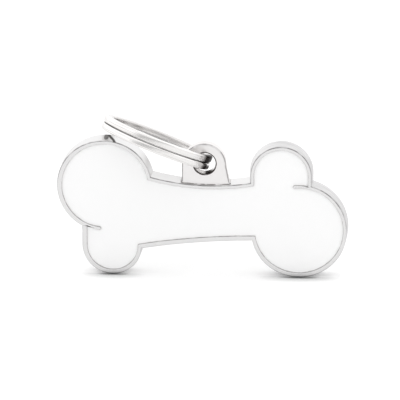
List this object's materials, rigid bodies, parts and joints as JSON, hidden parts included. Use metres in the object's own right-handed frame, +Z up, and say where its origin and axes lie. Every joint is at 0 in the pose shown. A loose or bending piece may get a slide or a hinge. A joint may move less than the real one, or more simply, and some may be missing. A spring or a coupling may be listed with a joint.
{
  "type": "pet id tag",
  "caption": "Bone-shaped pet ID tag: a plated metal plate with a raised rim round a blank white enamel field, and a split ring through its lug to hang it from a collar.",
  "frame": {"origin": "on the surface that the tag stands on, under the middle of the whole object's box", "axes": "+X along the bone, to the right as seen from the enamelled face; -Y out of the enamelled face; +Z up"},
  "size_m": [0.043, 0.017, 0.0239],
  "materials": {
    "plated_casting": "polished nickel plate on a zinc alloy casting",
    "enamel": "glossy white enamel",
    "ring_wire": "polished nickel plate on flattened steel wire"
  },
  "bodies": {
    "tag": {"tag_body": "plated_casting", "enamel_fill": "enamel"},
    "ring": {"split_ring": "ring_wire"}
  },
  "joints": [
    {"name": "ring_swing", "type": "hinge", "parent": "tag", "child": "ring", "pos_m": [0.0003, -0.00199, 0.01715], "axis": [0, 1, 0], "range_deg": [0, 141]}
  ]
}
